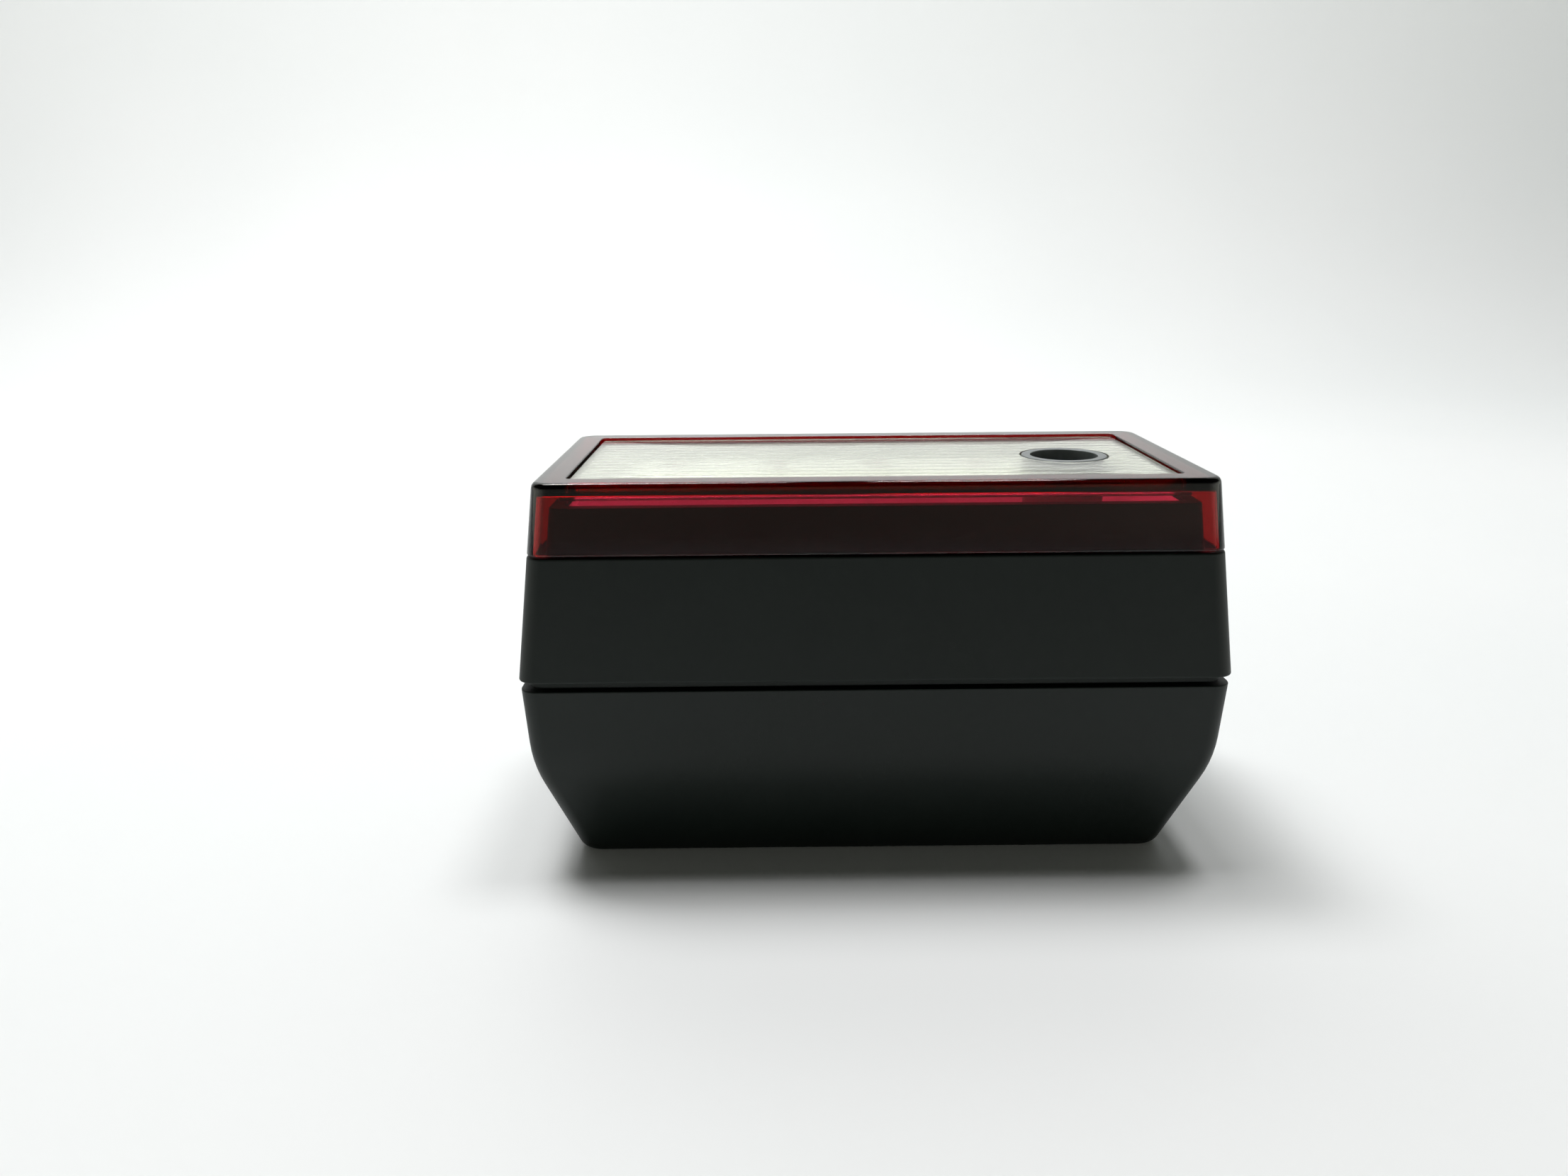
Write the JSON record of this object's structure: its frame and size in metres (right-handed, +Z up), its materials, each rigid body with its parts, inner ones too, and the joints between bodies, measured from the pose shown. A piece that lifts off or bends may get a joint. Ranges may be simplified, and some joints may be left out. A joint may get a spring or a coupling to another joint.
{
  "type": "darkroom safelight",
  "caption": "Small battery-powered darkroom safelight: black casing, transparent red hood, clear fluted lens, recessed push button.",
  "frame": {"origin": "centre of the flat underside", "axes": "+X to the right, towards the button; +Y to the back; +Z up, out of the lens"},
  "size_m": [0.1, 0.05, 0.0568],
  "materials": {
    "black_casing": "fine matt moulded texture",
    "switch_plastic": "matt",
    "red_hood": "transparent deep red, polished",
    "clear_lens": "clear, polished, fluted underneath",
    "grey_bezel": "satin grey",
    "circuit_board": "solder mask",
    "white_reflector": "satin white",
    "clear_diode": "water-clear epoxy",
    "steel": "plated",
    "red_insulation": "soft sheath",
    "black_insulation": "soft sheath",
    "resistor_coat": "lacquer with colour bands",
    "cell_sleeve": null
  },
  "bodies": {
    "root": {"base_shell": "black_casing", "body_shell": "black_casing", "filter_hood": "red_hood", "ribbed_lens": "clear_lens", "button_bezel": "grey_bezel", "button_well": "black_casing", "button_spring": "steel", "switch_body": "switch_plastic", "light_board": "circuit_board", "reflector_tray": "white_reflector", "led_1": "clear_diode", "led_2": "clear_diode", "led_3": "clear_diode", "led_4": "clear_diode", "led_5": "clear_diode", "led_6": "clear_diode", "led_7": "clear_diode", "led_8": "clear_diode", "resistor_1": "resistor_coat", "resistor_2": "resistor_coat", "aa_cell_1": "cell_sleeve", "aa_cell_2": "cell_sleeve", "positive_contact": "steel", "negative_contact": "steel", "link_contact": "steel", "cell_spring_1": "steel", "cell_spring_2": "steel", "red_lead": "red_insulation", "black_lead": "black_insulation", "case_screw_1": "steel", "case_screw_2": "steel", "case_screw_3": "steel", "case_screw_4": "steel", "board_screw_1": "steel", "board_screw_2": "steel"},
    "button": {"push_button": "black_casing"},
    "door": {"battery_door": "black_casing"}
  },
  "joints": [
    {"name": "button_press", "type": "slide", "parent": "root", "child": "button", "axis": [0, 0, -1], "range_m": [0, 0.0015], "stiffness_N_per_m": 600, "springref_m": -0.001, "deforming": ["button_spring"]},
    {"name": "door_hinge", "type": "hinge", "parent": "root", "child": "door", "pos_m": [-0.0286, 0, 0], "axis": [0, 1, 0], "range_deg": [0, 75]}
  ]
}
